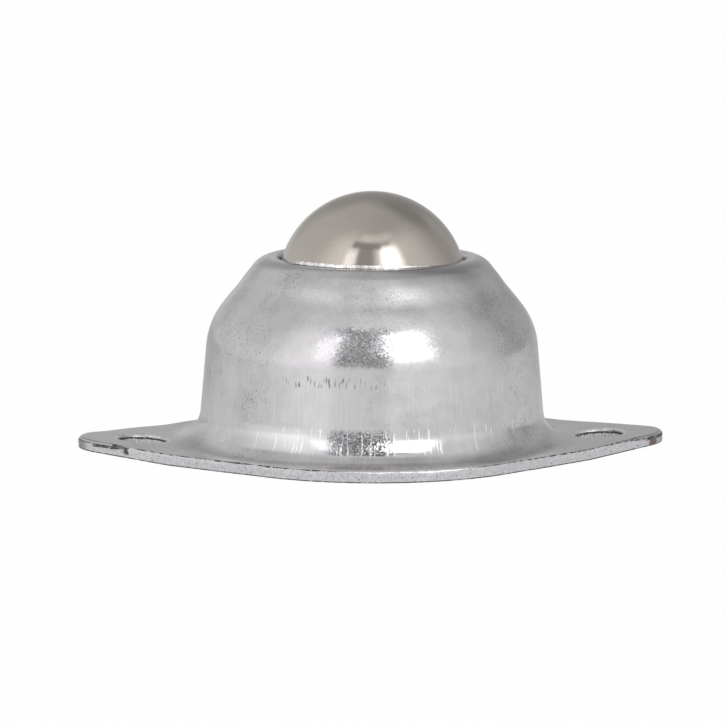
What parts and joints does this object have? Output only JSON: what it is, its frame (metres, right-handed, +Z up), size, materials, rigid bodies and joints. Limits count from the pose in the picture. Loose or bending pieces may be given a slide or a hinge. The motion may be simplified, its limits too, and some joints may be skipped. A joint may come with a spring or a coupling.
{
  "type": "flange-mounted ball transfer unit",
  "caption": "Low domed steel ball caster: a polished ball turns freely in a pressed dome with a two-hole diamond flange, so loads roll over it in any direction.",
  "frame": {"origin": "middle of the mounting face, straight below the load ball's centre", "axes": "+X along the line through the two bolt holes, +Z up through the load ball"},
  "size_m": [0.0794, 0.054, 0.0349],
  "materials": {
    "zinc_plated_steel": "deep-drawn sheet steel with bright zinc plating, semi-gloss, faint vertical draw marks",
    "hardened_steel": "case-hardened pressed steel, satin grey",
    "polished_ball_steel": "polished carbon steel, mirror-like with fine handling marks",
    "bearing_ball_steel": "ground and polished bearing steel"
  },
  "bodies": {
    "shell": {"housing": "zinc_plated_steel", "bearing_cup": "hardened_steel", "base_cover": "zinc_plated_steel"},
    "bearing_bed": {"bearing_ball_01": "bearing_ball_steel", "bearing_ball_02": "bearing_ball_steel", "bearing_ball_03": "bearing_ball_steel", "bearing_ball_04": "bearing_ball_steel", "bearing_ball_05": "bearing_ball_steel", "bearing_ball_06": "bearing_ball_steel", "bearing_ball_07": "bearing_ball_steel", "bearing_ball_08": "bearing_ball_steel", "bearing_ball_09": "bearing_ball_steel", "bearing_ball_10": "bearing_ball_steel", "bearing_ball_11": "bearing_ball_steel", "bearing_ball_12": "bearing_ball_steel", "bearing_ball_13": "bearing_ball_steel", "bearing_ball_14": "bearing_ball_steel", "bearing_ball_15": "bearing_ball_steel", "bearing_ball_16": "bearing_ball_steel", "bearing_ball_17": "bearing_ball_steel", "bearing_ball_18": "bearing_ball_steel", "bearing_ball_19": "bearing_ball_steel", "bearing_ball_20": "bearing_ball_steel", "bearing_ball_21": "bearing_ball_steel", "bearing_ball_22": "bearing_ball_steel", "bearing_ball_23": "bearing_ball_steel", "bearing_ball_24": "bearing_ball_steel", "bearing_ball_25": "bearing_ball_steel"},
    "ball": {"load_ball": "polished_ball_steel"}
  },
  "joints": [
    {"name": "bed_orbit", "type": "hinge", "parent": "shell", "child": "bearing_bed", "pos_m": [0, 0, 0.02221], "axis": [0, 0, 1], "continuous": true},
    {"name": "ball_roll", "type": "hinge", "parent": "bearing_bed", "child": "ball", "pos_m": [0, 0, 0.02221], "axis": [0, 1, 0], "continuous": true}
  ]
}
